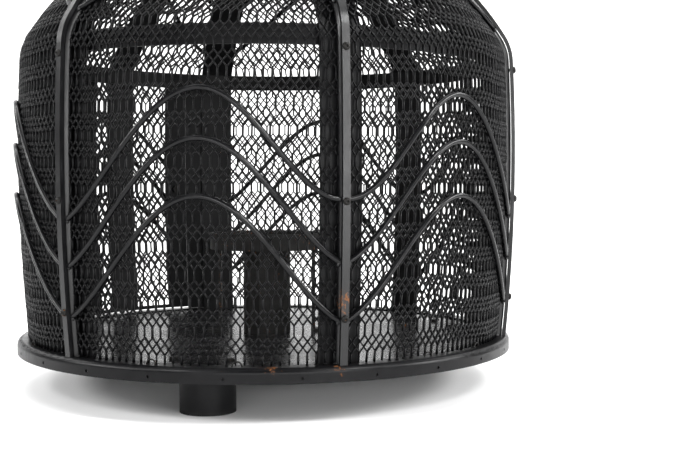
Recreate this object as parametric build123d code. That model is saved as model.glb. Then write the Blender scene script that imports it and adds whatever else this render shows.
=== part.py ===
from build123d import *
import math
import os

# Garden chiminea: a drum and dome of expanded steel mesh on six bent ribs, standing on three short feet.
# Millimetres. +Z is up, the origin is on the flue axis at the bottom of the feet.
# Angles run from -Y towards +X. Offsets are measured outwards from the middle of the mesh.

# ---- driving dimensions -------------------------------------------------------------------
DRUM_R = 295.0
BARREL_R = 2218.0
BULGE_Z = 270.0
SHOULDER_Z = 387.0
SHOULDER_R = 50.0
SHOULDER_TOP_ELEV = 32.0
DOME_R = 360.0
DOME_TOP_ELEV = 79.0
CROWN_R = 72.0

BAYS = 6
BAY_ANGLE = 360.0 / BAYS
FIRST_RIB_ANGLE = -45.0
DOOR_BAY = 4
HALF_BAY = BAY_ANGLE / 2

RIM_OUT_R = 300.0
RIM_IN_R = 276.0
RIM_BOTTOM_Z = 43.0
RIM_TOP_Z = 59.0
RIM_WALL = 2.5
RIM_EDGE_ROUND = 6.0
RIM_HOLE_D = 3.4
RIM_HOLES = 24
RIM_HOLE_Z = 48.5
FLOOR_Z = 57.0
FLOOR_T = 3.0

FEET = 3
FIRST_FOOT_ANGLE = -16.7
FOOT_PITCH_R = 219.0
FOOT_D = 60.0
FOOT_WALL = 3.0
FOOT_CAP_T = 4.0
FOOT_PLUG_H = 10.0
FOOT_FLANGE_D = 84.0
FOOT_FLANGE_T = 3.0
FOOT_SCREW_PITCH_R = 36.0
FOOT_SCREWS = 3
M5_D = 5.0
M5_HOLE_D = 5.4
M5_HEAD_D = 9.5
M5_HEAD_H = 3.0
M5_NUT_AF = 8.0
M5_NUT_H = 4.0
M5_LENGTH = 13.0

MESH_HALF_T = 1.0
RIB_D = 12.0
RIB_CLEAR = 0.2
BAR_W = 8.0
BAR_T = 4.4
BAR_OFFSET = 8.8
STRAP_W = 44.0
STRAP_T = 3.0
STRAP_OFFSET = -7.5
LINER_IN = -4.0
HOOP_OUT_R = 279.2
HOOP_IN_R = 276.2
HOOP_LOW_Z = 380.0
HOOP_TOP_Z = 401.0

M4_D = 4.0
M4_HOLE_D = 4.2
M4_HEAD_D = 8.0
M4_HEAD_H = 2.8
M4_TIP_OFFSET = -5.0
RIB_SCREW_Z = (107.0, 224.0, 376.0)
RIB_SCREW_DOME_ELEV = 50.0

WAVE_D = 6.0
WAVE_OFFSET = 4.3
WAVE_ROUNDNESS = 0.88
WAVE_LEAN = 0.05
WAVE_STEPS = 18
DRUM_WAVES = ((101.0, 229.0, 1.0, 0.88), (157.0, 286.0, 4.0, 0.88), (214.0, 335.0, 12.0, 1.0))
DOME_WAVES = ((34.0, 51.5), (47.0, 62.0))
WAVE_END_CUT = 8.6

CLIP_R = 5.0
CLIP_D = 1.6
CLIP_OFFSET = 3.0
CLIP_HALF_SPACING = 9.0

DOOR_EDGE_ANGLE = 20.7
JAMB_EDGE_ANGLE = 20.9
DOOR_LOW_Z = 61.0
DOOR_TOP_ELEV = 9.5
LINTEL_LOW_ELEV = 11.5
LINTEL_TOP_ELEV = 20.0
DOOR_LATCH_STILE_ANGLE = 6.0
DOOR_HINGE_STILE_ANGLE = 12.0
DOOR_LOW_RAIL_H = 5.0
WINDOW_TOP_Z = 381.0
DOOR_STRAP_ANGLE = 4.3
DOME_STRAP_W = 40.0
DOME_STRAP_ANGLE = 20.0

HINGE_ANGLE = 20.725
HINGE_AXIS_R = 303.0
HINGE_Z = (95.0, 320.0)
KNUCKLE_D = 10.0
KNUCKLE_H = 12.0
KNUCKLE_MOVING_H = 20.0
KNUCKLE_GAP = 0.5
HINGE_PIN_D = 5.0
HINGE_BORE_D = 5.1
HINGE_PIN_HEAD_D = 8.0
HINGE_PIN_HEAD_H = 2.0
GUSSET_T = 3.0
GUSSET_SIDE = 1.3
GUSSET_REACH = 18.0

LATCH_ANGLE = -17.7
LATCH_Z = 234.0
LATCH_BOSS_D = 14.0
LATCH_BOSS_TOP = 9.7
LATCH_PIN_D = 6.0
LATCH_BORE_D = 6.1
LATCH_HEAD_D = 12.0
LATCH_HEAD_H = 3.5
LATCH_NUT_AF = 10.0
LATCH_NUT_H = 3.7
LEVER_LOW = 9.8
LEVER_T = 4.0
LEVER_W = 12.0
TONGUE_LENGTH = 24.0
HANDLE_LENGTH = 44.0
GRIP_D = 10.0
GRIP_TOP = 40.0
GRIP_SETBACK = 7.0
KEEPER_X = -20.0
KEEPER_W = 5.0
KEEPER_T = 3.0
KEEPER_CLEAR = 0.6
KEEPER_LIP_LOW = 14.4
KEEPER_LIP_TOP = 18.0
KEEPER_LIP_Z = 2.0

GRATE_R = 70.0
GRATE_TOP_Z = 181.0
GRATE_H = 20.0
GRATE_WALL = 3.0
GRATE_BAR_D = 6.0
GRATE_BARS = 9
GRATE_POST_D = 58.0
GRATE_POST_WALL = 2.5
GRATE_LEGS = 4
GRATE_LEG_R = 58.0
GRATE_LEG_W = 18.0
GRATE_LEG_T = 4.0
GRATE_FOOT_L = 18.0

COLLAR_LOW_Z = 548.0
COLLAR_TOP_Z = 640.0
COLLAR_WALL = 3.0
FLUE_WALL = 2.5
FLUE_LOWER_Z = 604.0
FLUE_JOINT_Z = 770.0
FLUE_SOCKET_Z = 740.0
FLUE_TOP_Z = 955.0
BAND_LOW_Z = 610.0
BAND_TOP_Z = 630.0
BAND_T = 2.5
BAND_LUG = 14.0
BAND_LUG_T = 3.0
BAND_SLIT = 4.0
CAP_R = 126.0
CAP_RIM_Z = 990.0
CAP_TOP_Z = 1042.0
CAP_T = 2.0
CAP_LIP_H = 10.0
CAP_STRAPS = 3
CAP_STRAP_W = 18.0
CAP_STRAP_T = 2.5
CAP_STRAP_LOW_Z = 915.0
RIVET_D = 7.0
RIVET_H = 2.2
RIVET_INSET = 9.0
RIVET_SPACING = 20.0

SPACE = 1200.0

# ---- the shell that every ribbed part follows ---------------------------------------------
BARREL_CENTRE = (DRUM_R - BARREL_R, BULGE_Z)
SHOULDER_ELEV = math.degrees(math.asin((SHOULDER_Z - BULGE_Z) / BARREL_R))


def step_centre(centre, radius, next_radius, elev):
    """Centre of the next arc, which leaves the last one smoothly at the elevation."""
    reach = radius - next_radius
    across = centre[0] + reach * math.cos(math.radians(elev))
    up = centre[1] + reach * math.sin(math.radians(elev))
    return (across, up)


SHOULDER_CENTRE = step_centre(BARREL_CENTRE, BARREL_R, SHOULDER_R, SHOULDER_ELEV)
DOME_CENTRE = step_centre(SHOULDER_CENTRE, SHOULDER_R, DOME_R, SHOULDER_TOP_ELEV)


def elev_at(z):
    """Elevation of the drum wall's normal at a height."""
    return math.degrees(math.asin((z - BULGE_Z) / BARREL_R))


def on_arc(centre, radius, elev):
    across = centre[0] + radius * math.cos(math.radians(elev))
    up = centre[1] + radius * math.sin(math.radians(elev))
    return (across, up)


def profile_point(elev, offset):
    """Radius and height on the shell, at an offset from the middle of the mesh."""
    if elev <= SHOULDER_ELEV:
        return on_arc(BARREL_CENTRE, BARREL_R + offset, elev)
    if elev <= SHOULDER_TOP_ELEV:
        return on_arc(SHOULDER_CENTRE, SHOULDER_R + offset, elev)
    return on_arc(DOME_CENTRE, DOME_R + offset, elev)


def flat(point):
    """A profile point on the plane of Y = 0."""
    return (point[0], 0, point[1])


def profile_edges(low, top, offset):
    """Arcs of the profile from one elevation up to another."""
    breaks = [low]
    for bend in (SHOULDER_ELEV, SHOULDER_TOP_ELEV):
        if low < bend < top:
            breaks.append(bend)
    breaks.append(top)
    edges = []
    for start, end in zip(breaks, breaks[1:]):
        middle = (start + end) / 2
        begin = flat(on_same_arc(middle, start, offset))
        halfway = flat(on_same_arc(middle, middle, offset))
        finish = flat(on_same_arc(middle, end, offset))
        edges.append(ThreePointArc(begin, halfway, finish))
    return edges


def on_same_arc(member, elev, offset):
    """A point at an elevation, on the arc that holds the member elevation."""
    if member <= SHOULDER_ELEV:
        return on_arc(BARREL_CENTRE, BARREL_R + offset, elev)
    if member <= SHOULDER_TOP_ELEV:
        return on_arc(SHOULDER_CENTRE, SHOULDER_R + offset, elev)
    return on_arc(DOME_CENTRE, DOME_R + offset, elev)


def turned(angle):
    """Turns a part from the +X side round to an angle measured from -Y."""
    return Rot(0, 0, angle - 90)


def shell(low, top, inner, outer, start, end):
    """A piece of the shell between two elevations, two offsets and two angles."""
    inside = profile_edges(low, top, inner)
    outside = profile_edges(low, top, outer)
    floor_edge = Line(flat(profile_point(low, inner)), flat(profile_point(low, outer)))
    top_edge = Line(flat(profile_point(top, inner)), flat(profile_point(top, outer)))
    section = make_face(inside + outside + [floor_edge, top_edge])
    piece = revolve(section, Axis.Z, end - start)
    return turned(start) * piece


def wedge(start, end):
    """All the space round the axis between two angles."""
    section = make_face(Polyline((0, 0, 0), (SPACE, 0, 0), (SPACE, 0, SPACE), (0, 0, SPACE), close=True))
    return turned(start) * revolve(section, Axis.Z, end - start)


def ring(inner, outer, low, top):
    """An upright ring about the axis."""
    section = Pos((inner + outer) / 2, (low + top) / 2) * Rectangle(outer - inner, top - low)
    return revolve(Plane.XZ * section, Axis.Z, 360)


def shell_plane(elev, angle, offset):
    """A plane on the shell: X along the wall, Y up it, Z outwards."""
    across, up = profile_point(elev, offset)
    turn = math.radians(angle)
    tilt = math.radians(elev)
    origin = (across * math.sin(turn), -across * math.cos(turn), up)
    along = (math.cos(turn), math.sin(turn), 0)
    out = (math.cos(tilt) * math.sin(turn), -math.cos(tilt) * math.cos(turn), math.sin(tilt))
    return Plane(origin=origin, x_dir=along, z_dir=out)


def upright_plane(radius, z, angle):
    """An upright plane at a radius: X along the wall, Y up, Z outwards."""
    turn = math.radians(angle)
    origin = (radius * math.sin(turn), -radius * math.cos(turn), z)
    return Plane(origin=origin, x_dir=(math.cos(turn), math.sin(turn), 0),
                 z_dir=(math.sin(turn), -math.cos(turn), 0))


def post(diameter, low, top):
    """A round post along Z between two heights."""
    return Pos(0, 0, (low + top) / 2) * Cylinder(diameter / 2, top - low)


def block(x_low, x_top, y_low, y_top, z_low, z_top):
    centre = Pos((x_low + x_top) / 2, (y_low + y_top) / 2, (z_low + z_top) / 2)
    return centre * Box(x_top - x_low, y_top - y_low, z_top - z_low)


def rib_angle(number):
    return FIRST_RIB_ANGLE + number * BAY_ANGLE


def bay_centre(number):
    return rib_angle(number) + HALF_BAY


os.makedirs("parts", exist_ok=True)


def save(name, solids):
    """Writes one node from its separate solids."""
    label = Compound(label=name, children=list(solids))
    export_step(label, f"parts/{name}.step")


FOOT_ELEV = elev_at(RIM_TOP_Z)
BELOW_ELEV = elev_at(RIM_TOP_Z - STRAP_W)
BELOW_RIM = block(-SPACE, SPACE, -SPACE, SPACE, -SPACE, RIM_TOP_Z)
INSIDE_CROWN = Cylinder(CROWN_R, 2 * SPACE)


def swept_bar(section, offset):
    """A bar that follows the whole profile, from the rim up to the crown, on the +X side."""
    edges = profile_edges(BELOW_ELEV, DOME_TOP_ELEV, offset)
    path = Wire(edges)
    start = Plane(origin=path @ 0, x_dir=(0, 1, 0), z_dir=path % 0)
    bar = sweep(start * section, path=path)
    return bar - BELOW_RIM - INSIDE_CROWN


# ---- floor, rim and feet ------------------------------------------------------------------
foot_angles = [FIRST_FOOT_ANGLE + number * 360.0 / FEET for number in range(FEET)]


def foot_place(number):
    plane = upright_plane(FOOT_PITCH_R, 0, foot_angles[number])
    return Pos(plane.origin.X, plane.origin.Y, 0) * Rot(0, 0, foot_angles[number])


def foot_screw_places():
    spots = []
    for number in range(FEET):
        for screw in range(FOOT_SCREWS):
            turn = Rot(0, 0, screw * 360.0 / FOOT_SCREWS)
            spots.append(foot_place(number) * turn * Pos(0, FOOT_SCREW_PITCH_R, 0))
    return spots


base_plate = post(2 * RIM_IN_R, FLOOR_Z - FLOOR_T, FLOOR_Z)
for spot in foot_screw_places():
    base_plate -= spot * post(M5_HOLE_D, 0, RIM_TOP_Z)
save("base_plate", [base_plate])

rim_middle = (RIM_IN_R + RIM_OUT_R) / 2
rim_height = RIM_TOP_Z - RIM_BOTTOM_Z
rim_width = RIM_OUT_R - RIM_IN_R
rim_section = Pos(rim_middle, RIM_BOTTOM_Z + rim_height / 2) * Rectangle(rim_width, rim_height)
outer_corner = rim_section.vertices().sort_by(Axis.X)[-2:].sort_by(Axis.Y)[-1]
rim_section = fillet(outer_corner, RIM_EDGE_ROUND)
hollow_height = rim_height - RIM_WALL
hollow_width = rim_width - 2 * RIM_WALL
hollow = Pos(rim_middle, RIM_BOTTOM_Z + hollow_height / 2) * Rectangle(hollow_width, hollow_height)
hollow_corner = hollow.vertices().sort_by(Axis.X)[-2:].sort_by(Axis.Y)[-1]
hollow = fillet(hollow_corner, RIM_EDGE_ROUND - RIM_WALL)
rim_ring = revolve(Plane.XZ * (rim_section - hollow), Axis.Z, 360)
for number in range(RIM_HOLES):
    angle = FIRST_FOOT_ANGLE / 2 + number * 360.0 / RIM_HOLES
    hole_plane = upright_plane(RIM_OUT_R, RIM_HOLE_Z, angle)
    rim_ring -= hole_plane * Cylinder(RIM_HOLE_D / 2, 2 * (RIM_WALL + RIM_HOLE_D))
save("rim_ring", [rim_ring])

foot_tube = post(FOOT_D, FOOT_CAP_T, FLOOR_Z - FLOOR_T)
foot_tube += post(FOOT_FLANGE_D, FLOOR_Z - FLOOR_T - FOOT_FLANGE_T, FLOOR_Z - FLOOR_T)
foot_tube -= post(FOOT_D - 2 * FOOT_WALL, 0, FLOOR_Z - FLOOR_T - FOOT_FLANGE_T)
for screw in range(FOOT_SCREWS):
    turn = Rot(0, 0, screw * 360.0 / FOOT_SCREWS)
    foot_tube -= turn * Pos(0, FOOT_SCREW_PITCH_R, 0) * post(M5_HOLE_D, 0, RIM_TOP_Z)
foot_cap = post(FOOT_D, 0, FOOT_CAP_T) + post(FOOT_D - 2 * FOOT_WALL, FOOT_CAP_T, FOOT_CAP_T + FOOT_PLUG_H)
for number in range(FEET):
    save(f"foot_tube_{number + 1}", [foot_place(number) * foot_tube])
save("foot_caps", [foot_place(number) * foot_cap for number in range(FEET)])

foot_screw_head = post(M5_HEAD_D, FLOOR_Z, FLOOR_Z + M5_HEAD_H)
foot_screw_head = fillet(foot_screw_head.edges().sort_by(Axis.Z)[-1], M5_HEAD_H / 2)
foot_screw = foot_screw_head + post(M5_D, FLOOR_Z - M5_LENGTH, FLOOR_Z)
flange_low = FLOOR_Z - FLOOR_T - FOOT_FLANGE_T
foot_nut = extrude(RegularPolygon(M5_NUT_AF / 2, 6, major_radius=False), M5_NUT_H)
foot_nut = Pos(0, 0, flange_low - M5_NUT_H) * foot_nut - post(M5_HOLE_D, 0, RIM_TOP_Z)
save("foot_screws", [spot * foot_screw for spot in foot_screw_places()])
save("foot_nuts", [spot * foot_nut for spot in foot_screw_places()])

# ---- ribs, their face bars, straps and screws ---------------------------------------------
rib_stock = swept_bar(Circle(RIB_D / 2), 0)
bar_stock = swept_bar(Rectangle(BAR_W, BAR_T), BAR_OFFSET)
strap_stock = swept_bar(Rectangle(STRAP_W, STRAP_T), STRAP_OFFSET)

screw_elevs = [elev_at(z) for z in RIB_SCREW_Z] + [RIB_SCREW_DOME_ELEV]
bar_face = BAR_OFFSET + BAR_T / 2
for elev in screw_elevs:
    hole = shell_plane(elev, 90, 0) * post(M4_HOLE_D, M4_TIP_OFFSET - RIB_CLEAR, bar_face + M4_HEAD_H)
    rib_stock -= hole
    bar_stock -= hole

screw_head = post(M4_HEAD_D, bar_face, bar_face + M4_HEAD_H)
screw_head = fillet(screw_head.edges().sort_by(Axis.Z)[-1], M4_HEAD_H / 2)
rib_screw = screw_head + post(M4_D, M4_TIP_OFFSET, bar_face)
rib_screws = []
for number in range(BAYS):
    place = turned(rib_angle(number))
    save(f"rib_{number + 1}", [place * rib_stock])
    save(f"rib_bar_{number + 1}", [place * bar_stock])
    for elev in screw_elevs:
        rib_screws.append(shell_plane(elev, rib_angle(number), 0) * rib_screw)
save("rib_screws", rib_screws)
save("rib_straps", [turned(rib_angle(number)) * strap_stock for number in range(BAYS)])
save("shoulder_hoop", [ring(HOOP_IN_R, HOOP_OUT_R, HOOP_LOW_Z, HOOP_TOP_Z)])

# ---- mesh panels --------------------------------------------------------------------------
rib_slot_half = RIB_D / 2 + RIB_CLEAR
rib_slot = block(0, SPACE, -rib_slot_half, rib_slot_half, -SPACE, SPACE)
rib_core = swept_bar(Circle(RIB_D / 2), 0)


def between_ribs(piece, number):
    """Trims a piece of a bay clear of the ribs on either side."""
    trimmed = piece
    for side in (number, number + 1):
        trimmed -= turned(rib_angle(side)) * rib_slot
    return trimmed


def mesh_panel(number, low, top):
    panel = shell(low, top, -MESH_HALF_T, MESH_HALF_T, rib_angle(number), rib_angle(number + 1))
    return between_ribs(panel, number) - BELOW_RIM - INSIDE_CROWN


fixed_bays = [number for number in range(BAYS) if number != DOOR_BAY]
for number in fixed_bays:
    save(f"mesh_panel_{number + 1}", [mesh_panel(number, BELOW_ELEV, DOME_TOP_ELEV)])
save("mesh_gore_over_door", [mesh_panel(DOOR_BAY, LINTEL_LOW_ELEV, DOME_TOP_ELEV)])

# ---- wave rods ----------------------------------------------------------------------------


def high_side(number):
    """The side of a bay where its rods end higher: the rods swap high and low ends from rib to rib."""
    return 1 if number % 2 == 0 else -1


def wave_height(share, low, peak, side, tilt, high_roundness):
    """Height of a wave rod across a bay: share runs from -1 at one rib to 1 at the next."""
    leaned = share - side * WAVE_LEAN * (1 - share ** 2)
    roundness = high_roundness if side * leaned > 0 else WAVE_ROUNDNESS
    bottom = math.cos(roundness * math.pi)
    rise = (math.cos(roundness * math.pi * leaned) - bottom) / (1 - bottom)
    return low + (peak - low) * rise + tilt * side * share


def wave_rod(number, elev_along):
    """One rod bent across a bay, its height given as an elevation along the bay."""
    points = []
    for step in range(WAVE_STEPS + 1):
        share = 2 * step / WAVE_STEPS - 1
        plane = shell_plane(elev_along(share), bay_centre(number) + share * HALF_BAY, WAVE_OFFSET)
        points.append(plane.origin)
    path = Spline(*points)
    start = Plane(origin=path @ 0, z_dir=path % 0)
    rod = sweep(start * Circle(WAVE_D / 2), path=path)
    end_slot = block(0, SPACE, -WAVE_END_CUT / 2, WAVE_END_CUT / 2, -SPACE, SPACE)
    for side in (number, number + 1):
        rod -= turned(rib_angle(side)) * end_slot
        rod -= turned(rib_angle(side)) * rib_core
    return rod


def drum_waves(number):
    rods = []
    side = high_side(number)
    for low, peak, tilt, roundness in DRUM_WAVES:
        rods.append(wave_rod(
            number, lambda share: elev_at(wave_height(share, low, peak, side, tilt, roundness))))
    return rods


for number in fixed_bays:
    save(f"drum_waves_{number + 1}", drum_waves(number))

dome_rods = []
for number in range(BAYS):
    side = high_side(number)
    for low, peak in DOME_WAVES:
        dome_rods.append(wave_rod(
            number, lambda share: wave_height(share, low, peak, side, 0, WAVE_ROUNDNESS)))
save("dome_waves", dome_rods)

# ---- small wire clips that hold the mesh's lower edge -------------------------------------
clip_path = CenterArc((0, 0), CLIP_R, 0, 180)
clip_start = Plane(origin=clip_path @ 0, z_dir=clip_path % 0)
clip = sweep(clip_start * Circle(CLIP_D / 2), path=clip_path)
clips = []
for number in fixed_bays:
    for side in (-1, 1):
        radius = profile_point(FOOT_ELEV, CLIP_OFFSET)[0]
        angle = bay_centre(number) + side * CLIP_HALF_SPACING
        clips.append(upright_plane(radius, RIM_TOP_Z, angle) * clip)
save("mesh_clips", clips)

# ---- door bay: fixed frame, door, hinges --------------------------------------------------
door_centre = bay_centre(DOOR_BAY)
jamb_low = door_centre - JAMB_EDGE_ANGLE
jamb_top = door_centre + JAMB_EDGE_ANGLE
door_low = door_centre - DOOR_EDGE_ANGLE
door_top = door_centre + DOOR_EDGE_ANGLE

frame_stock = shell(FOOT_ELEV, LINTEL_TOP_ELEV, LINER_IN, -MESH_HALF_T,
                    rib_angle(DOOR_BAY), rib_angle(DOOR_BAY + 1))
doorway = shell(FOOT_ELEV, LINTEL_LOW_ELEV, 2 * LINER_IN, -LINER_IN, jamb_low, jamb_top)
dome_strap = shell(LINTEL_TOP_ELEV, DOME_TOP_ELEV, LINER_IN, -MESH_HALF_T,
                   door_centre - DOME_STRAP_ANGLE, door_centre + DOME_STRAP_ANGLE)
dome_strip = block(0, SPACE, -DOME_STRAP_W / 2, DOME_STRAP_W / 2, 0, SPACE)
dome_strap = (dome_strap & (turned(door_centre) * dome_strip)) - INSIDE_CROWN
save("door_jamb_frame", [between_ribs(frame_stock, DOOR_BAY) - doorway + dome_strap])

jamb_mesh = mesh_panel(DOOR_BAY, BELOW_ELEV, LINTEL_LOW_ELEV) - wedge(jamb_low, jamb_top)
save("jamb_mesh", jamb_mesh.solids())

door_elev_low = elev_at(DOOR_LOW_Z)
window_elev_low = elev_at(DOOR_LOW_Z + DOOR_LOW_RAIL_H)
window_elev_top = elev_at(WINDOW_TOP_Z)
door_frame = shell(door_elev_low, DOOR_TOP_ELEV, LINER_IN, -MESH_HALF_T, door_low, door_top)
door_frame -= shell(window_elev_low, window_elev_top, 2 * LINER_IN, MESH_HALF_T,
                    door_low + DOOR_LATCH_STILE_ANGLE, door_top - DOOR_HINGE_STILE_ANGLE)
door_strap = shell(window_elev_low, window_elev_top, LINER_IN, -MESH_HALF_T,
                   door_centre - DOOR_STRAP_ANGLE, door_centre + DOOR_STRAP_ANGLE)
door_mesh = shell(door_elev_low, DOOR_TOP_ELEV, -MESH_HALF_T, MESH_HALF_T, door_low, door_top)
save("door_strap", [door_strap])

bay_rods = drum_waves(DOOR_BAY)
door_side = wedge(door_low, door_top)
jamb_side = wedge(jamb_low, jamb_top)
save("door_waves", [rod & door_side for rod in bay_rods])
jamb_rods = []
for rod in bay_rods:
    jamb_rods.extend((rod - jamb_side).solids())
save("jamb_waves", jamb_rods)

within_shell = Solid.revolve(make_face(
    profile_edges(BELOW_ELEV, DOME_TOP_ELEV, MESH_HALF_T)
    + [Line(flat(profile_point(BELOW_ELEV, MESH_HALF_T)), (0, 0, profile_point(BELOW_ELEV, 0)[1])),
       Line((0, 0, profile_point(BELOW_ELEV, 0)[1]), (0, 0, profile_point(DOME_TOP_ELEV, 0)[1])),
       Line((0, 0, profile_point(DOME_TOP_ELEV, 0)[1]), flat(profile_point(DOME_TOP_ELEV, MESH_HALF_T)))]
).face(), 360, Axis.Z)


def knuckle(low, height, side):
    """A hinge barrel with the plate that carries it: side is 1 on the jamb and -1 on the door."""
    barrel = Cylinder(KNUCKLE_D / 2, height)
    plate_middle = side * (GUSSET_SIDE + GUSSET_T / 2)
    plate = Pos(plate_middle, GUSSET_REACH / 2, 0) * Box(GUSSET_T, GUSSET_REACH, height)
    solid = barrel + plate - Cylinder(HINGE_BORE_D / 2, height)
    return Pos(0, 0, low + height / 2) * solid


hinge_angle = door_centre + HINGE_ANGLE
hinge_place = turned(hinge_angle) * Pos(HINGE_AXIS_R, 0, 0) * Rot(0, 0, 90)
moving_low = KNUCKLE_MOVING_H / 2
fixed_knuckles = []
moving_knuckles = []
hinge_pins = []
for z in HINGE_Z:
    lower = z - moving_low - KNUCKLE_GAP - KNUCKLE_H
    upper = z + moving_low + KNUCKLE_GAP
    for low in (lower, upper):
        fixed_knuckles.append(hinge_place * knuckle(low, KNUCKLE_H, 1) - within_shell)
    moving_knuckles.append(hinge_place * knuckle(z - moving_low, KNUCKLE_MOVING_H, -1) - within_shell)
    pin_top = upper + KNUCKLE_H
    pin = post(HINGE_PIN_D, lower, pin_top) + post(HINGE_PIN_HEAD_D, pin_top, pin_top + HINGE_PIN_HEAD_H)
    hinge_pins.append(hinge_place * pin)
save("hinge_knuckles_fixed", fixed_knuckles)
save("hinge_knuckles_door", moving_knuckles)
save("hinge_pins", hinge_pins)

# ---- latch --------------------------------------------------------------------------------
latch_wall_r = profile_point(elev_at(LATCH_Z), 0)[0]
latch_plane = upright_plane(latch_wall_r, LATCH_Z, door_centre + LATCH_ANGLE)
lever_top = LEVER_LOW + LEVER_T

latch_shank = latch_plane * post(LATCH_PIN_D, 2 * LINER_IN, lever_top + RIB_CLEAR)
latch_pivot = latch_plane * post(LATCH_BOSS_D, LINER_IN, LATCH_BOSS_TOP) - within_shell
head_low = lever_top + RIB_CLEAR
latch_pivot += latch_plane * post(LATCH_HEAD_D, head_low, head_low + LATCH_HEAD_H)
latch_pivot += latch_shank
latch_nut = extrude(RegularPolygon(LATCH_NUT_AF / 2, 6, major_radius=False), LATCH_NUT_H)
latch_pivot += latch_plane * Pos(0, 0, 2 * LINER_IN) * latch_nut
save("latch_pivot", [latch_pivot])
pivot_hole = latch_plane * post(LATCH_PIN_D + RIB_CLEAR, 3 * LINER_IN, MESH_HALF_T * 2)
save("door_frame", [door_frame - pivot_hole])
save("door_mesh", [door_mesh - pivot_hole])

lever = block(-LEVER_W / 2, LEVER_W / 2, -HANDLE_LENGTH, TONGUE_LENGTH, LEVER_LOW, lever_top)
lever = fillet(lever.edges().filter_by(Axis.Z), LEVER_W / 3)
grip = Pos(0, -HANDLE_LENGTH + GRIP_SETBACK, 0) * post(GRIP_D, lever_top, GRIP_TOP)
grip = fillet(grip.edges().sort_by(Axis.Z)[-1], GRIP_D / 3)
lever = lever + grip - post(LATCH_BORE_D, 0, GRIP_TOP)
save("latch_lever", [latch_plane * lever])

keeper_left = KEEPER_X - KEEPER_W / 2
keeper_right = KEEPER_X + KEEPER_W / 2
ledge_top = -LEVER_W / 2 - KEEPER_CLEAR
ledge_low = ledge_top - KEEPER_T
keeper = block(keeper_left, keeper_right, ledge_low, ledge_top, 2 * LINER_IN, KEEPER_LIP_TOP)
keeper += block(keeper_left, keeper_right, ledge_low, KEEPER_LIP_Z, KEEPER_LIP_LOW, KEEPER_LIP_TOP)
save("latch_keeper", [latch_plane * keeper - within_shell])

# ---- fire grate on its post ---------------------------------------------------------------
grate_low = GRATE_TOP_Z - GRATE_H
grate = ring(GRATE_R - GRATE_WALL, GRATE_R, grate_low, GRATE_TOP_Z)
bar_pitch = 2 * GRATE_R / (GRATE_BARS + 1)
within_grate = Cylinder(GRATE_R - GRATE_WALL / 2, 2 * SPACE)
for number in range(GRATE_BARS):
    across = -GRATE_R + (number + 1) * bar_pitch
    bar = Pos(across, 0, grate_low + GRATE_BAR_D) * Rot(90, 0, 0) * Cylinder(GRATE_BAR_D / 2, 2 * GRATE_R)
    grate += bar & within_grate
save("grate", [grate])

post_top = grate_low + GRATE_BAR_D / 2
grate_post = post(GRATE_POST_D, FLOOR_Z, post_top)
grate_post -= post(GRATE_POST_D - 2 * GRATE_POST_WALL, 0, SPACE)
save("grate_post", [grate_post])

leg_in = GRATE_LEG_R - GRATE_LEG_T / 2
leg_out = GRATE_LEG_R + GRATE_LEG_T / 2
leg = block(leg_in, leg_out, -GRATE_LEG_W / 2, GRATE_LEG_W / 2, FLOOR_Z, post_top)
leg += block(leg_in, leg_in + GRATE_FOOT_L, -GRATE_LEG_W / 2, GRATE_LEG_W / 2, FLOOR_Z, FLOOR_Z + GRATE_LEG_T)
save("grate_legs", [Rot(0, 0, number * 360.0 / GRATE_LEGS) * leg for number in range(GRATE_LEGS)])

# ---- crown collar, flue and rain cap ------------------------------------------------------
save("crown_collar", [ring(CROWN_R - COLLAR_WALL, CROWN_R, COLLAR_LOW_Z, COLLAR_TOP_Z)])
lower_out = CROWN_R + FLUE_WALL
upper_out = lower_out + FLUE_WALL
save("flue_lower", [ring(CROWN_R, lower_out, FLUE_LOWER_Z, FLUE_JOINT_Z)])
save("flue_upper", [ring(lower_out, upper_out, FLUE_SOCKET_Z, FLUE_TOP_Z)])

band = ring(lower_out, lower_out + BAND_T, BAND_LOW_Z, BAND_TOP_Z)
lug_reach = lower_out + BAND_LUG
for side in (-1, 1):
    lug_middle = side * (BAND_SLIT + BAND_LUG_T) / 2
    lug_low = lug_middle - BAND_LUG_T / 2
    lug_top = lug_middle + BAND_LUG_T / 2
    band += block(lower_out + BAND_T / 2, lug_reach, lug_low, lug_top, BAND_LOW_Z, BAND_TOP_Z)
band -= block(0, lug_reach, -BAND_SLIT / 2, BAND_SLIT / 2, BAND_LOW_Z, BAND_TOP_Z)
band_bolt_x = lower_out + BAND_LUG - M4_HEAD_D / 2
band_middle = (BAND_LOW_Z + BAND_TOP_Z) / 2
bolt_place = Pos(band_bolt_x, 0, band_middle) * Rot(90, 0, 0)
band -= bolt_place * Cylinder(M4_HOLE_D / 2, BAND_LUG)
save("flue_band", [Rot(0, 0, FIRST_FOOT_ANGLE) * band])
bolt_reach = BAND_SLIT / 2 + BAND_LUG_T
band_bolt = post(M4_D, -bolt_reach - M4_HEAD_H, bolt_reach)
band_bolt += post(M4_HEAD_D, bolt_reach, bolt_reach + M4_HEAD_H)
save("flue_band_bolt", [Rot(0, 0, FIRST_FOOT_ANGLE) * bolt_place * band_bolt])

cap_slope = (CAP_TOP_Z - CAP_RIM_Z) / CAP_R
cap_section = make_face(Polyline(
    (0, 0, CAP_TOP_Z),
    (CAP_R, 0, CAP_RIM_Z),
    (CAP_R, 0, CAP_RIM_Z - CAP_LIP_H),
    (CAP_R - CAP_T, 0, CAP_RIM_Z - CAP_LIP_H),
    (CAP_R - CAP_T, 0, CAP_RIM_Z - CAP_T),
    (0, 0, CAP_TOP_Z - CAP_T - cap_slope * CAP_T),
    close=True))
save("rain_cap", [revolve(cap_section, Axis.Z, 360)])

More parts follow.
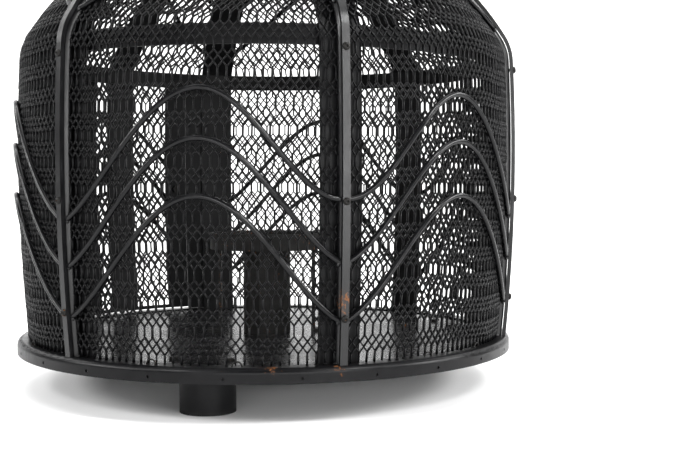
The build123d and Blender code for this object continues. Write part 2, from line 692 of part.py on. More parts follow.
under_cap_slice = make_face(Polyline(
    (0, 0, 0),
    (CAP_R - CAP_T, 0, 0),
    (CAP_R - CAP_T, 0, CAP_RIM_Z - CAP_T),
    (0, 0, CAP_TOP_Z - CAP_T - cap_slope * CAP_T),
    close=True))
under_cap = revolve(under_cap_slice, Axis.Z, 360)
cap_strap = block(upper_out, upper_out + CAP_STRAP_T, -CAP_STRAP_W / 2, CAP_STRAP_W / 2,
                  CAP_STRAP_LOW_Z, CAP_TOP_Z)
cap_strap = cap_strap & under_cap
rivet = post(RIVET_D, 0, RIVET_H)
rivet = fillet(rivet.edges().sort_by(Axis.Z)[-1], RIVET_H / 2)
cap_straps = []
cap_rivets = []
for number in range(CAP_STRAPS):
    angle = FIRST_FOOT_ANGLE + number * 360.0 / CAP_STRAPS
    cap_straps.append(turned(angle) * cap_strap)
    for row in range(2):
        rivet_z = CAP_STRAP_LOW_Z + RIVET_INSET + row * RIVET_SPACING
        cap_rivets.append(upright_plane(upper_out + CAP_STRAP_T, rivet_z, angle) * rivet)
save("cap_straps", cap_straps)
save("cap_rivets", cap_rivets)
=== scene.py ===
import math

import bmesh
import bpy
import numpy as np
from mathutils import Euler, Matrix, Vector, noise


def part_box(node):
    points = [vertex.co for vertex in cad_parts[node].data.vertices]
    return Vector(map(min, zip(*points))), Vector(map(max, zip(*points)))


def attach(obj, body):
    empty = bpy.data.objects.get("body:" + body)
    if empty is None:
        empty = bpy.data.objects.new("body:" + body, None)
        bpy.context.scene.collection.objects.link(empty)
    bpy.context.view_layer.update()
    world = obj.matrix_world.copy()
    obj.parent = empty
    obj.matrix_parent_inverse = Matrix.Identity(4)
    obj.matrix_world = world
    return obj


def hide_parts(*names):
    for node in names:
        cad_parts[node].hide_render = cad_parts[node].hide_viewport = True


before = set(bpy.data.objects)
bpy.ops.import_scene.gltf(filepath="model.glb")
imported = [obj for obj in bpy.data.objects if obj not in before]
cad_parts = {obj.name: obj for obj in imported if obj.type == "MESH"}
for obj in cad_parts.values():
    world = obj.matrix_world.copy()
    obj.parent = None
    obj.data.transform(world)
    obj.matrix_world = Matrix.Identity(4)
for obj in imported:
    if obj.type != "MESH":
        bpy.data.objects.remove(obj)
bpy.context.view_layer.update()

RNG = np.random.default_rng(11)
BODY, DOOR = "chiminea_body", "door"

# ---- the shell's profile: drum wall, shoulder and dome, in metres --------------------------
DRUM_R, BARREL_R, BULGE_Z = 0.295, 2.218, 0.270
SHOULDER_Z, SHOULDER_R, DOME_R = 0.387, 0.050, 0.360
SHOULDER_TOP = math.radians(32.0)
CROWN_R = 0.072
RIM_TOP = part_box("rim_ring")[1][2]

RIBS = 6
BAY = math.radians(60)
FIRST_RIB = math.radians(-45)
DOOR_BAY = 4


def tangent_centre(centre, radius, next_radius, elev):
    """Centre of the arc that follows another one without a kink at an elevation."""
    step = radius - next_radius
    return centre[0] + step * math.cos(elev), centre[1] + step * math.sin(elev)


# The wall's normal leans up by FOOT at the rim, SHOULDER at the drum's top, and CROWN at the flue.
FOOT = math.asin((RIM_TOP - BULGE_Z) / BARREL_R)
SHOULDER = math.asin((SHOULDER_Z - BULGE_Z) / BARREL_R)
DRUM_CENTRE = (DRUM_R - BARREL_R, BULGE_Z)
SHOULDER_CENTRE = tangent_centre(DRUM_CENTRE, BARREL_R, SHOULDER_R, SHOULDER)
DOME_CENTRE = tangent_centre(SHOULDER_CENTRE, SHOULDER_R, DOME_R, SHOULDER_TOP)
CROWN = math.acos((CROWN_R - DOME_CENTRE[0]) / DOME_R)

# Lengths along the wall from the rim to the ends of the three arcs.
DRUM_END = BARREL_R * (SHOULDER - FOOT)
SHOULDER_END = DRUM_END + SHOULDER_R * (SHOULDER_TOP - SHOULDER)
DOME_END = SHOULDER_END + DOME_R * (CROWN - SHOULDER_TOP)


def profile(s):
    """Radius, height and normal elevation at a length up the wall, measured from the rim."""
    s = np.asarray(s, float)

    def on_arc(drum, shoulder, dome):
        return np.where(s < DRUM_END, drum, np.where(s < SHOULDER_END, shoulder, dome))

    elev = on_arc(FOOT + s / BARREL_R,
                  SHOULDER + (s - DRUM_END) / SHOULDER_R,
                  SHOULDER_TOP + (s - SHOULDER_END) / DOME_R)
    centre_r = on_arc(DRUM_CENTRE[0], SHOULDER_CENTRE[0], DOME_CENTRE[0])
    centre_z = on_arc(DRUM_CENTRE[1], SHOULDER_CENTRE[1], DOME_CENTRE[1])
    arc_r = on_arc(BARREL_R, SHOULDER_R, DOME_R)
    return centre_r + arc_r * np.cos(elev), centre_z + arc_r * np.sin(elev), elev


def radius_at(s):
    """Radius of the wall at one length up it."""
    return float(profile(s)[0])


def length_at(z):
    """Length up the drum wall to a height."""
    return BARREL_R * (math.asin((z - BULGE_Z) / BARREL_R) - FOOT)


def length_to(elev):
    """Length up the wall to where its normal leans up by an elevation in degrees."""
    lean = math.radians(elev)
    if lean < SHOULDER:
        return BARREL_R * (lean - FOOT)
    if lean < SHOULDER_TOP:
        return DRUM_END + SHOULDER_R * (lean - SHOULDER)
    return SHOULDER_END + DOME_R * (lean - SHOULDER_TOP)


def bay_centre(bay):
    return FIRST_RIB + (bay + 0.5) * BAY


def place(x, s, n, centre):
    """Points x across the wall from a centre angle, s up it and n outwards."""
    r, z, elev = profile(s)
    angle = centre + x / r
    reach = r + n * np.cos(elev)
    return np.stack([reach * np.sin(angle), -reach * np.cos(angle), z + n * np.sin(elev)], -1)


def outward(elev, angle):
    """The wall's normal at an elevation and an angle round the object."""
    return np.stack([np.cos(elev) * np.sin(angle), -np.cos(elev) * np.cos(angle), np.sin(elev)], -1)


# ---- materials -----------------------------------------------------------------------------


def feed(tree, socket, value):
    """Sets a socket to a plain value, or links another node's output to it."""
    if isinstance(value, (int, float, tuple)):
        socket.default_value = value
    else:
        tree.links.new(value, socket)


def noise_node(tree, coord, scale, detail=3.0, rough=0.55):
    n = tree.nodes.new("ShaderNodeTexNoise")
    n.inputs["Scale"].default_value = scale
    n.inputs["Detail"].default_value = detail
    n.inputs["Roughness"].default_value = rough
    tree.links.new(coord, n.inputs["Vector"])
    return n.outputs["Fac"]


def ramp(tree, fac, low, high, tones=((0, 0, 0, 1), (1, 1, 1, 1))):
    """Runs from the first tone at a low value to the second at a high one."""
    r = tree.nodes.new("ShaderNodeValToRGB")
    for element, position, tone in zip(r.color_ramp.elements, (low, high), tones):
        element.position = position
        element.color = tone
    tree.links.new(fac, r.inputs["Fac"])
    return r.outputs["Color"]


def math_node(tree, operation, a, b, clamp=False):
    m = tree.nodes.new("ShaderNodeMath")
    m.operation = operation
    m.use_clamp = clamp
    for socket, value in zip(m.inputs, (a, b)):
        feed(tree, socket, value)
    return m.outputs[0]


def mix_colour(tree, fac, a, b):
    m = tree.nodes.new("ShaderNodeMix")
    m.data_type = "RGBA"
    for key, value in (("Factor", fac), ("A", a), ("B", b)):
        socket = [i for i in m.inputs if i.name == key and i.enabled][0]
        feed(tree, socket, value)
    return [o for o in m.outputs if o.enabled][0]


def near(tree, coord, point, reach):
    """1 at a place on the object, fading to 0 at a reach from it."""
    apart = tree.nodes.new("ShaderNodeVectorMath")
    apart.operation = "DISTANCE"
    tree.links.new(coord, apart.inputs[0])
    apart.inputs[1].default_value = point
    share = math_node(tree, "DIVIDE", apart.outputs["Value"], reach)
    return math_node(tree, "SUBTRACT", 1.0, share, clamp=True)


RUST_TONES = ((0.052, 0.017, 0.006, 1), (0.20, 0.075, 0.022, 1))
DUST_GAIN, DUST_LIFT = 2.5, 0.005
RUST_EDGE = 0.035
BUMP_STRENGTH = 0.55


def coat(name, base, rough, grain=1100.0, grain_depth=0.00012, dust=0.25, rust=0.60, spots=(),
         spec=0.13):
    """Powder coat: fine grain, uneven sheen, a little dust, and rust where it has chipped.

    rust is the noise level above which the coat has rusted, so a higher one leaves less of it;
    each of the spots is a place, a reach and how far the level drops there.
    """
    m = bpy.data.materials.new(name)
    m.use_nodes = True
    t = m.node_tree
    bsdf = t.nodes["Principled BSDF"]
    coord = t.nodes.new("ShaderNodeTexCoord").outputs["Object"]

    def plus(a, b):
        return math_node(t, "ADD", a, b)

    def times(a, b):
        return math_node(t, "MULTIPLY", a, b)

    fine = noise_node(t, coord, grain, 2.0)
    mid = noise_node(t, coord, 95.0, 4.0)
    broad = noise_node(t, coord, 14.0, 4.0)
    patch = noise_node(t, coord, 260.0, 5.0, 0.65)

    dusty = ramp(t, mid, 0.42, 0.78)
    dust_tone = tuple(c * DUST_GAIN + DUST_LIFT for c in base[:3]) + (1,)
    shade = mix_colour(t, times(dusty, dust), base, dust_tone)
    rusty = ramp(t, plus(times(patch, 0.7), times(broad, 0.3)), rust, rust + RUST_EDGE)
    for point, reach, amount in spots:
        here = times(near(t, coord, point, reach), amount)
        speck = ramp(t, plus(patch, here), 0.80, 0.88)
        rusty = math_node(t, "MAXIMUM", rusty, speck)
    rust_tone = ramp(t, noise_node(t, coord, 700.0, 3.0), 0.3, 0.7, RUST_TONES)
    t.links.new(mix_colour(t, rusty, shade, rust_tone), bsdf.inputs["Base Color"])

    sheen = plus(rough - 0.10, times(broad, 0.22))
    sheen = plus(sheen, times(dusty, 0.10))
    sheen = math_node(t, "MAXIMUM", sheen, times(rusty, 0.85), clamp=True)
    t.links.new(sheen, bsdf.inputs["Roughness"])
    bsdf.inputs["Specular IOR Level"].default_value = spec

    bump = t.nodes.new("ShaderNodeBump")
    bump.inputs["Strength"].default_value = BUMP_STRENGTH
    bump.inputs["Distance"].default_value = grain_depth
    height = plus(plus(fine, times(mid, 0.8)), times(rusty, 1.5))
    t.links.new(height, bump.inputs["Height"])
    t.links.new(bump.outputs["Normal"], bsdf.inputs["Normal"])
    return m


def chip(s, n, degrees, reach, amount):
    """A rusty spot s up the wall and n outwards at an angle."""
    point = place(0.0, s, n, math.radians(degrees))
    return tuple(float(v) for v in point), reach, amount


BLACK = (0.0028, 0.0028, 0.0032, 1)
MESH_BLACK = (0.0028, 0.0028, 0.0031, 1)
FLOOR_BLACK = (0.006, 0.006, 0.0065, 1)
STEEL_GREY = (0.007, 0.0065, 0.006, 1)
GRATE_GREY = (0.006, 0.0058, 0.0055, 1)
PLASTIC_BLACK = (0.006, 0.006, 0.006, 1)
RIB_CHIPS = (chip(length_at(0.125), 0.012, 15, 0.030, 0.36),)
RIM_CHIPS = (chip(0.0, 0.01, 1, 0.022, 0.35), chip(0.0, 0.01, 14, 0.02, 0.33))

FRAME_COAT = coat("black_powder_coat", BLACK, 0.42, rust=0.685)
RIB_COAT = coat("rib_powder_coat", BLACK, 0.30, grain=900, grain_depth=0.00016, rust=0.675,
                spots=RIB_CHIPS, spec=0.38)
RIM_COAT = coat("rim_powder_coat", BLACK, 0.30, rust=0.665, spots=RIM_CHIPS)
ROD_COAT = coat("rod_powder_coat", BLACK, 0.17, grain=1500, grain_depth=0.00005, rust=0.70,
                spec=0.20)
MESH_COAT = coat("mesh_powder_coat", MESH_BLACK, 0.34, grain=1800, grain_depth=0.00005,
                 rust=0.69)
FLOOR_COAT = coat("floor_gloss_coat", FLOOR_BLACK, 0.22, grain=500, grain_depth=0.00004,
                  dust=0.5, rust=0.72, spec=0.4)
FLUE_COAT = coat("flue_powder_coat", BLACK, 0.42, rust=0.69)
STEEL = coat("screw_steel", STEEL_GREY, 0.38, grain=2200, grain_depth=0.00004)
GRATE_COAT = coat("grate_steel", GRATE_GREY, 0.55, grain=700, grain_depth=0.0003, dust=0.8)
PLASTIC = coat("foot_plastic", PLASTIC_BLACK, 0.60, grain=900, grain_depth=0.0001, dust=0.6,
               rust=0.99)
WELD = coat("weld_coat", BLACK, 0.34, grain=900, grain_depth=0.0002, rust=0.64, spec=0.4)

COATED = (
    (RIM_COAT, ("rim_ring",)),
    (FLOOR_COAT, ("base_plate",)),
    (PLASTIC, ("foot_caps",)),
    (STEEL, ("rib_screws", "foot_screws", "foot_nuts", "cap_rivets", "hinge_pins", "latch_pivot",
             "flue_band_bolt", "mesh_clips")),
    (GRATE_COAT, ("grate", "grate_post", "grate_legs")),
    (FLUE_COAT, ("flue_lower", "flue_upper", "crown_collar", "rain_cap")),
)
FINISH = {node: finish for finish, nodes in COATED for node in nodes}
RIB_NODES = tuple(f"rib_{rib + 1}" for rib in range(RIBS)) + ("rib_bar",)


def finish_of(node):
    """The coat of a CAD node."""
    if "waves" in node:
        return ROD_COAT
    if node.startswith(RIB_NODES):
        return RIB_COAT
    return FINISH.get(node, FRAME_COAT)


for node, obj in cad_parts.items():
    obj.data.materials.clear()
    obj.data.materials.append(finish_of(node))


def add(name, mesh, material, body, replaces=()):
    """Links a finished mesh as a piece that rides on a body."""
    obj = bpy.data.objects.new(name, mesh)
    bpy.context.scene.collection.objects.link(obj)
    mesh.materials.clear()
    mesh.materials.append(material)
    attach(obj, body)
    if replaces:
        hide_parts(*replaces)


# ---- expanded steel mesh -------------------------------------------------------------------
# Upright bonds in rows, joined by three courses of strands that cross between the rows.
PITCH = 0.0091
BOND = 0.0108
COURSE = 0.0059
COURSES = 3
ROW = BOND + COURSES * COURSE
IS_STRAND, IS_BOND = 0, 1

# A piece's half sizes across and out of the sheet, and how far it runs on into the next one.
BOND_HALF = (0.00108, 0.00175)
STRAND_HALF = (0.00092, 0.00185)
BOND_RUN_ON, STRAND_RUN_ON = 0.0002, 0.00045
SIDES = 6
SIZE_SPREAD = 0.10
WEAVE = 0.00012
SHORTEST = 0.0012
SHEET_MARGIN = 0.01

# The sheet's skew, and its slow waves: each has a size and radians per metre.
SKEW, SKEW_FROM = 0.01225, 0.25
SWAY, SWAY_ACROSS = (0.0011, 23.0), (0.0006, 41.0)
PULL, PULL_ACROSS, PULL_UP = (0.0013, 17.0), (0.0007, 57.0), 19.0


def strand_graph(width, top):
    """Ends and kinds of every bond and strand of a flat sheet."""
    columns = int(width / PITCH) + 6
    rows = int(top / ROW) + 3
    starts, ends, kinds = [], [], []
    for row in range(-1, rows):
        y = row * ROW
        shift = 0.5 * PITCH * (row % 2)
        for column in range(-columns, columns + 1):
            x = column * PITCH + shift
            starts.append((x, y))
            ends.append((x, y + BOND))
            kinds.append(IS_BOND)
            for course in range(COURSES):
                low = y + BOND + course * COURSE
                offset = 0.5 * PITCH if course % 2 else 0.0
                for side in (-0.5, 0.5):
                    starts.append((x + offset, low))
                    ends.append((x + offset + side * PITCH, low + COURSE))
                    kinds.append(IS_STRAND)
    return np.array(starts), np.array(ends), np.array(kinds)


def drift(p, seed):
    """The small skew and stretch of a sheet that was pulled over a frame."""
    x, y = p[:, 0], p[:, 1]
    skewed = (x + SKEW * (y - SKEW_FROM) + SWAY[0] * np.sin(y * SWAY[1] + seed)
              + SWAY_ACROSS[0] * np.sin(x * SWAY_ACROSS[1] + seed * 2))
    stretched = (y + PULL[0] * np.sin(x * PULL[1] + seed * 1.7)
                 + PULL_ACROSS[0] * np.sin(x * PULL_ACROSS[1] + y * PULL_UP))
    return np.stack([skewed, stretched], -1)


def clip(a, b, left, right, low, top):
    """Cuts the strands off at a panel's edges, and tells which to keep.

    left and right give the limits of x at a length up the wall.
    """
    keep = np.ones(len(a), bool)
    for inside in (lambda p: p[:, 0] - left(p[:, 1]), lambda p: right(p[:, 1]) - p[:, 0],
                   lambda p: p[:, 1] - low, lambda p: top - p[:, 1]):
        inside_a, inside_b = inside(a), inside(b)
        keep &= (inside_a > 0) | (inside_b > 0)
        span = np.where(inside_a == inside_b, 1, inside_a - inside_b)
        at = a + (b - a) * (inside_a / span).clip(0, 1)[:, None]
        a = np.where(((inside_a < 0) & (inside_b >= 0))[:, None], at, a)
        b = np.where(((inside_b < 0) & (inside_a >= 0))[:, None], at, b)
    keep &= np.hypot(*(b - a).T) > SHORTEST
    return a, b, keep


def unit(vectors):
    return vectors / np.linalg.norm(vectors, axis=1)[:, None]


def prisms(name, ends_a, ends_b, normals, half):
    """One mesh of closed six-sided prisms between pairs of points, with their half sizes."""
    way = unit(ends_b - ends_a)
    side = unit(np.cross(way, normals))
    up = np.cross(side, way)
    turns = np.arange(SIDES) * 2 * math.pi / SIDES
    section = (side[:, None, :] * (np.cos(turns)[None, :, None] * half[:, 0][:, None, None])
               + up[:, None, :] * (np.sin(turns)[None, :, None] * half[:, 1][:, None, None]))
    rings = [end[:, None, :] + section for end in (ends_a, ends_b)]
    verts = np.concatenate(rings, 1).reshape(-1, 3)

    base = (np.arange(len(way)) * 2 * SIDES)[:, None]
    around = np.arange(SIDES)
    quads = [[i, j, SIDES + j, SIDES + i] for i, j in zip(around, np.roll(around, -1))]
    walls = np.concatenate([base + np.array(quad)[None] for quad in quads], 0)
    caps = np.concatenate([base + around[::-1][None], base + SIDES + around[None]], 0)
    sizes = np.concatenate([np.full(len(walls), 4), np.full(len(caps), SIDES)])
    corners = np.concatenate([walls.ravel(), caps.ravel()])

    mesh = bpy.data.meshes.new(name)
    mesh.vertices.add(len(verts))
    mesh.vertices.foreach_set("co", verts.astype(np.float32).ravel())
    mesh.loops.add(len(corners))
    mesh.loops.foreach_set("vertex_index", corners.astype(np.int32))
    mesh.polygons.add(len(sizes))
    mesh.polygons.foreach_set("loop_start", (np.cumsum(sizes) - sizes).astype(np.int32))
    mesh.update(calc_edges=True)
    mesh.polygons.foreach_set("use_smooth", sizes == 4)
    mesh.validate()
    return mesh


def strand_mesh(name, centre, left, right, low, top, seed):
    """The expanded mesh of one panel of the wall."""
    a, b, kinds = strand_graph(0.5 * BAY * (DRUM_R + SHEET_MARGIN), DOME_END)
    a, b, keep = clip(drift(a, seed), drift(b, seed), left, right, low, top)
    a, b, is_bond = a[keep], b[keep], (kinds[keep] == IS_BOND)[:, None]
    along = (b - a) / np.hypot(*(b - a).T)[:, None]
    run_on = along * np.where(is_bond, BOND_RUN_ON, STRAND_RUN_ON)
    a, b = a - run_on, b + run_on
    half = np.where(is_bond, np.array(BOND_HALF), np.array(STRAND_HALF))
    half = half * (1 + SIZE_SPREAD * RNG.standard_normal((len(a), 1)).clip(-1.5, 1.5))
    weave = WEAVE * RNG.standard_normal(len(a)).clip(-1, 1)
    ends_a = place(a[:, 0], a[:, 1], weave, centre)
    ends_b = place(b[:, 0], b[:, 1], weave, centre)
    middle = (a + b) / 2
    radius, _, elev = profile(middle[:, 1])
    normals = outward(elev, centre + middle[:, 0] / radius)
    return prisms(name, ends_a, ends_b, normals, half)


# The mesh stops at the ribs, the door's edge and the jambs, in radians and in degrees up.
RIB_EDGE = 0.0057
DOOR_EDGE, JAMB_EDGE = math.radians(20.7), math.radians(20.9)
DOOR_TOP, GORE_LOW = 9.5, 11.5
SIDE_GAP, END_GAP, GORE_GAP, RIM_GAP = 0.0009, 0.0008, 0.0006, 0.0004
SEED_STEP = 1.3


def rib_side(s):
    """x of a rib's side from the middle of a bay."""
    return profile(s)[0] * BAY / 2 - RIB_EDGE


def door_side(s):
    """x of the edge of the door's mesh from the middle of the door."""
    return profile(s)[0] * DOOR_EDGE - SIDE_GAP


def jamb_side(s):
    """x of the jamb mesh's inner edge from the middle of the door."""
    return profile(s)[0] * JAMB_EDGE + SIDE_GAP


def opposite(side):
    return lambda s: -side(s)


def panel(node, bay, left, right, low, top, body=BODY, suffix=""):
    """Expanded mesh over part of a bay, in place of the CAD node's plain sheet."""
    piece = f"{node}_strands{suffix}"
    mesh = strand_mesh(piece, bay_centre(bay), left, right, low, top, bay * SEED_STEP)
    add(piece, mesh, MESH_COAT, body, [node])


def mesh_panels():
    """Five full bays, the gore over the door, the door's mesh and the jambs' two strips."""
    for bay in range(RIBS):
        if bay == DOOR_BAY:
            node, low = "mesh_gore_over_door", length_to(GORE_LOW) + GORE_GAP
        else:
            node, low = f"mesh_panel_{bay + 1}", RIM_GAP
        panel(node, bay, opposite(rib_side), rib_side, low, DOME_END)
    door_low = length_at(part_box("door_mesh")[0][2]) + END_GAP
    door_top = length_to(DOOR_TOP) - END_GAP
    panel("door_mesh", DOOR_BAY, opposite(door_side), door_side, door_low, door_top, DOOR)
    jamb_top = length_to(GORE_LOW) - END_GAP
    for suffix, left, right in (("_a", opposite(rib_side), opposite(jamb_side)),
                                ("_b", jamb_side, rib_side)):
        panel("jamb_mesh", DOOR_BAY, left, right, RIM_GAP, jamb_top, suffix=suffix)


mesh_panels()

# ---- screws, welds and seams ---------------------------------------------------------------


def mesh_from(name, verts, faces):
    mesh = bpy.data.meshes.new(name)
    mesh.from_pydata([tuple(v) for v in verts], [], faces)
    mesh.validate()
    mesh.update(calc_edges=True)
    mesh.shade_smooth()
    return mesh


def joined(name, shapes):
    """One mesh out of several shapes, each with its vertices and faces."""
    all_verts, all_faces, base = [], [], 0
    for verts, faces in shapes:
        all_verts.append(verts)
        all_faces += [tuple(base + i for i in face) for face in faces]
        base += len(verts)
    return mesh_from(name, np.concatenate(all_verts), all_faces)


def spun(rows, turns):
    """A closed skin round a local Z axis: each row is a radius, a height and is it a hexagon."""
    verts, faces = [], []
    for row, (radius, height, hexagonal) in enumerate(rows):
        for i in range(turns):
            a = 2 * math.pi * i / turns
            r = radius
            if hexagonal:
                r = radius / math.cos((a + math.pi / 6) % (math.pi / 3) - math.pi / 6)
            verts.append((r * math.cos(a), r * math.sin(a), height))
            if row:
                j = (i + 1) % turns
                low, up = (row - 1) * turns, row * turns
                faces.append((low + i, low + j, up + j, up + i))
    last = (len(rows) - 1) * turns
    faces.append(tuple(reversed(range(turns))))
    faces.append(tuple(range(last, last + turns)))
    return np.array(verts), faces


def set_on_wall(verts, s, n, angle, twist):
    """Stands a shape on the wall, its own Z outwards and turned about it by a twist."""
    out = outward(float(profile(s)[2]), angle)
    along = np.array([math.cos(angle), math.sin(angle), 0.0])
    up = np.cross(out, along)
    c, d = math.cos(twist), math.sin(twist)
    x = verts[:, :1] * c - verts[:, 1:2] * d
    y = verts[:, :1] * d + verts[:, 1:2] * c
    return place(0.0, s, n, angle) + x * along + y * up + verts[:, 2:] * out


# A button-head screw: its rows are radii and heights from the face of the rib's bar.
BAR_FACE = 0.0110
SHANK = ((0.0020, -0.0158), (0.0020, 0.0))
BUTTON = ((0.0039, 0.00002), (0.0040, 0.0004), (0.00385, 0.0011), (0.00345, 0.0018),
          (0.0028, 0.00235), (0.0020, 0.00270), (0.00150, 0.00276))
SOCKET = ((0.00126, 0.00262), (0.00122, 0.0012))
SOCKET_FLOOR = (0.0006, 0.00105)
SCREW_TURNS = 24
SCREW_HEIGHTS, SCREW_DOME_ELEV = (0.107, 0.224, 0.376), 50.0


def rib_screw_heads():
    """The screws through each rib's bar, every one turned its own way."""
    rows = [(r, z, False) for r, z in SHANK + BUTTON]
    rows += [(r, z, True) for r, z in SOCKET]
    rows += [(*SOCKET_FLOOR, False)]
    screw, faces = spun(rows, SCREW_TURNS)
    lengths = [length_at(z) for z in SCREW_HEIGHTS] + [length_to(SCREW_DOME_ELEV)]
    shapes = []
    for rib in range(RIBS):
        for s in lengths:
            verts = set_on_wall(screw, s, BAR_FACE, FIRST_RIB + rib * BAY, RNG.uniform(0, 2))
            shapes.append((verts, faces))
    add("rib_screw_heads", joined("rib_screw_heads", shapes), STEEL, BODY,
        ["rib_screws"])


# The rods' waves, as the CAD has them: low, peak, tilt and roundness at the high end,
# in metres up the drum and in degrees up the dome.
ROUND, LEAN = 0.88, 0.05
DRUM_WAVES = ((0.101, 0.229, 0.001, 0.88), (0.157, 0.286, 0.004, 0.88),
              (0.214, 0.335, 0.012, 1.0))
DOME_WAVES = ((34.0, 51.5, 0.0, 0.88), (47.0, 62.0, 0.0, 0.88))

# Weld beads: half sizes along the wall, up it and outwards, and where they sit.
ROD_BEAD, ROD_BEAD_OUT = (0.0021, 0.0036, 0.0022), 0.0046
ROD_END_SHARE, ROD_END_IN = 0.982, 0.0056
RIB_BEAD, RIB_BEAD_OUT, RIB_BEAD_SIDE = (0.0016, 0.0070, 0.0009), -0.0058, 0.0034
RIB_BEAD_HEIGHTS, RIB_BEAD_SPREAD = (0.075, 0.160, 0.250, 0.340), 0.006
RIM_BEAD, RIM_BEAD_UP, RIM_BEAD_SIDE = (0.0024, 0.0018, 0.0040), 0.0012, 0.0052

# How much a bead's size and turn vary, and its lumps: each has a depth and a rate.
BEAD_SIZES, BEAD_TURN, BEAD_SEED_STEP = (0.85, 1.15), 0.4, 3.1
LUMP, DIMPLE = (0.16, 1.7), (0.05, 6)


def wave_at(share, side, low, peak, tilt, high_round):
    """Height of a rod at a share of the bay, from -1 at one rib to 1 at the next."""
    leaned = share - side * LEAN * (1 - share ** 2)
    turn = high_round if side * leaned > 0 else ROUND
    bottom = math.cos(turn * math.pi)
    rise = (peak - low) * (math.cos(turn * math.pi * leaned) - bottom) / (1 - bottom)
    return low + rise + tilt * side * share


def blob(seed):
    """A lumpy ball of about unit radius."""
    bm = bmesh.new()
    bmesh.ops.create_icosphere(bm, subdivisions=3, radius=1.0)
    for v in bm.verts:
        d = v.co.normalized()
        lump = LUMP[0] * noise.noise(d * LUMP[1] + Vector((seed, 0, 0)))
        dimple = DIMPLE[0] * noise.noise(d * DIMPLE[1] + Vector((0, seed, 0)))
        v.co *= 1 + lump + dimple
    verts = np.array([v.co[:] for v in bm.verts])
    faces = [tuple(v.index for v in f.verts) for f in bm.faces]
    bm.free()
    return verts, faces


def weld(name, beads):
    """A piece of weld beads: each has a length up the wall, an offset, an angle, half sizes."""
    shapes = []
    for seed, (s, n, angle, half) in enumerate(beads):
        verts, faces = blob(seed * BEAD_SEED_STEP)
        verts = verts * np.array(half) * RNG.uniform(*BEAD_SIZES, 3)
        twist = RNG.uniform(-BEAD_TURN, BEAD_TURN)
        shapes.append((set_on_wall(verts, s, n, angle, twist), faces))
    add(name, joined(name, shapes), WELD, BODY)


def rod_beads():
    """A bead where each end of each rod meets a rib."""
    beads = []
    for bay in range(RIBS):
        side = 1 if bay % 2 == 0 else -1
        for end in (-1, 1):
            share = end * ROD_END_SHARE
            lengths = [length_at(wave_at(share, side, *wave)) for wave in DRUM_WAVES]
            lengths += [length_to(wave_at(share, side, *wave)) for wave in DOME_WAVES]
            for s in lengths:
                angle = bay_centre(bay) + end * (BAY / 2 - ROD_END_IN / radius_at(s))
                beads.append((s, ROD_BEAD_OUT, angle, ROD_BEAD))
    return beads


def rib_beads():
    """Short runs behind both sides of each rib, and one where each side meets the rim."""
    beads = []
    for rib in range(RIBS):
        middle = FIRST_RIB + rib * BAY
        for side in (-1, 1):
            angle = middle + side * RIB_BEAD_SIDE / DRUM_R
            for z in RIB_BEAD_HEIGHTS:
                s = length_at(z + RNG.uniform(-RIB_BEAD_SPREAD, RIB_BEAD_SPREAD))
                beads.append((s, RIB_BEAD_OUT, angle, RIB_BEAD))
            beads.append((RIM_BEAD_UP, 0.0, middle + side * RIM_BEAD_SIDE / DRUM_R, RIM_BEAD))
    return beads


# The flue's seams: the angle of each, half width, height, how deep its edges sink in, and ends.
SEAMS = (("flue_lower", 2.2), ("flue_upper", 2.35))
SEAM_HALF, SEAM_RISE, SEAM_SINK, SEAM_END = 0.0019, 0.0007, 0.0004, 0.002
SEAM_HALF_WOBBLE, SEAM_RISE_WOBBLE = (0.0003, 160), (0.0002, 230)
SEAM_STEPS = 90


def flue_seam(node, angle):
    """A welded seam up one length of flue."""
    low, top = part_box(node)
    radius = (top[0] - low[0]) / 2
    verts, faces = [], []
    for i in range(SEAM_STEPS + 1):
        z = low[2] + SEAM_END + (top[2] - low[2] - 2 * SEAM_END) * i / SEAM_STEPS
        size, rate = SEAM_HALF_WOBBLE
        half = SEAM_HALF + size * noise.noise(Vector((z * rate, angle, 0)))
        size, rate = SEAM_RISE_WOBBLE
        rise = SEAM_RISE + size * noise.noise(Vector((z * rate, 0, angle)))
        section = ((-half, -SEAM_SINK), (-half * 0.5, rise * 0.8), (0, rise),
                   (half * 0.5, rise * 0.8), (half, -SEAM_SINK))
        points = len(section)
        for across, up in section:
            a = angle + across / radius
            r = radius + up
            verts.append((r * math.sin(a), -r * math.cos(a), z))
        if i:
            low_row, up_row = (i - 1) * points, i * points
            for k in range(points):
                j = (k + 1) % points
                faces.append((low_row + k, low_row + j, up_row + j, up_row + k))
    last = SEAM_STEPS * points
    faces.append(tuple(reversed(range(points))))
    faces.append(tuple(range(last, last + points)))
    return verts, faces


rib_screw_heads()
weld("rod_welds", rod_beads())
weld("rib_welds", rib_beads())
seams = [flue_seam(node, angle) for node, angle in SEAMS]
add("flue_seams", joined("flue_seams", seams), FLUE_COAT, BODY)

# ---- studio --------------------------------------------------------------------------------
FLOOR_FRONT, FLOOR_BACK, FLOOR_SIDE = -6.0, 2.6, 9.0
CURVE_R, BACKDROP_TOP = 1.6, 6.0
PALE, PALE_ROUGH = (0.86, 0.86, 0.86, 1), 0.75


def stage_material():
    """An almost even pale surface."""
    m = bpy.data.materials.new("pale_floor")
    m.use_nodes = True
    t = m.node_tree
    bsdf = t.nodes["Principled BSDF"]
    coord = t.nodes.new("ShaderNodeTexCoord").outputs["Object"]
    darker = tuple(c * 0.985 for c in PALE[:3]) + (1,)
    tone = mix_colour(t, noise_node(t, coord, 2.2, 2.0), PALE, darker)
    t.links.new(tone, bsdf.inputs["Base Color"])
    bsdf.inputs["Roughness"].default_value = PALE_ROUGH
    return m


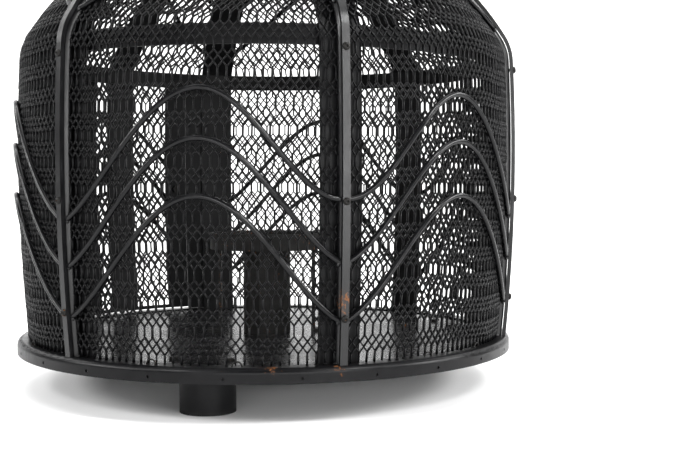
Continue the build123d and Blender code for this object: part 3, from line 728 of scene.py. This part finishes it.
def sweep_stage():
    """A pale floor that curves up into a backdrop behind the object."""
    line = [(FLOOR_FRONT, 0.0)]
    line += [(FLOOR_BACK + CURVE_R * math.sin(a), CURVE_R - CURVE_R * math.cos(a))
             for a in np.linspace(0, math.pi / 2, 24)]
    line += [(FLOOR_BACK + CURVE_R, BACKDROP_TOP)]
    bm = bmesh.new()
    rows = [[bm.verts.new((x, y, z)) for x in (-FLOOR_SIDE, FLOOR_SIDE)] for y, z in line]
    for a, b in zip(rows, rows[1:]):
        bm.faces.new((a[0], a[1], b[1], b[0]))
    mesh = bpy.data.meshes.new("studio_sweep")
    bm.to_mesh(mesh)
    bm.free()
    mesh.shade_smooth()
    obj = bpy.data.objects.new("studio_sweep", mesh)
    bpy.context.scene.collection.objects.link(obj)
    mesh.materials.append(stage_material())


sweep_stage()

# Each light has a name, a place, what it faces, its width and height, and watts.
LIGHTS = (
    ("softbox_left", (-1.7, -1.7, 2.0), (0, 0, 0.25), (0.16, 0.6), 36),
    ("softbox_right", (1.5, -1.5, 2.1), (0, 0, 0.25), (0.16, 0.6), 42),
    ("side_right", (2.6, -0.5, 0.9), (0, 0, 0.25), (0.30, 1.5), 26),
    ("strip_right", (1.30, -2.12, 0.75), (0.08, -0.29, 0.25), (0.24, 1.7), 24),
    ("softbox_top", (0.0, 0.6, 3.2), (0, 0.4, 0.0), (3.4, 2.4), 112),
    ("floor_left", (-2.6, -0.6, 1.3), (-0.5, -0.4, 0.0), (1.6, 0.5), 58),
    ("floor_right", (2.6, -0.4, 1.3), (0.5, -0.3, 0.0), (1.6, 0.5), 58),
    ("floor_front", (0.0, -2.3, 0.42), (0.0, -0.25, 0.0), (2.6, 0.16), 30),
    ("backdrop_left", (-2.4, 1.5, 2.3), (-1.0, 4.0, 0.7), (1.4, 1.4), 98),
    ("backdrop_right", (2.4, 1.5, 2.3), (1.0, 4.0, 0.7), (1.4, 1.4), 98),
)
WORLD_STRENGTH = 0.08


def area_light(name, at, look, size, watts):
    light = bpy.data.lights.new(name, "AREA")
    light.shape = "RECTANGLE"
    light.size, light.size_y = size
    light.energy = watts
    obj = bpy.data.objects.new(name, light)
    obj.location = at
    obj.rotation_euler = (Vector(look) - Vector(at)).to_track_quat("-Z", "Y").to_euler()
    bpy.context.scene.collection.objects.link(obj)


for row in LIGHTS:
    area_light(*row)

world = bpy.data.worlds.new("studio")
world.use_nodes = True
world.node_tree.nodes["Background"].inputs["Color"].default_value = (1, 1, 1, 1)
world.node_tree.nodes["Background"].inputs["Strength"].default_value = WORLD_STRENGTH
bpy.context.scene.world = world
bpy.context.scene.view_settings.view_transform = "Standard"

# ---- camera --------------------------------------------------------------------------------
EYE = (0.0, -1.3996, 0.2399)
TILT_DOWN, TURN_RIGHT = math.radians(2.48), math.radians(4.25)

camera = bpy.data.cameras.new("camera")
camera.sensor_width = 36.0
camera.lens = 57.6
eye = bpy.data.objects.new("camera", camera)
eye.location = EYE
eye.rotation_euler = Euler((math.pi / 2 - TILT_DOWN, 0.0, -TURN_RIGHT), "XYZ")
bpy.context.scene.collection.objects.link(eye)
bpy.context.scene.camera = eye
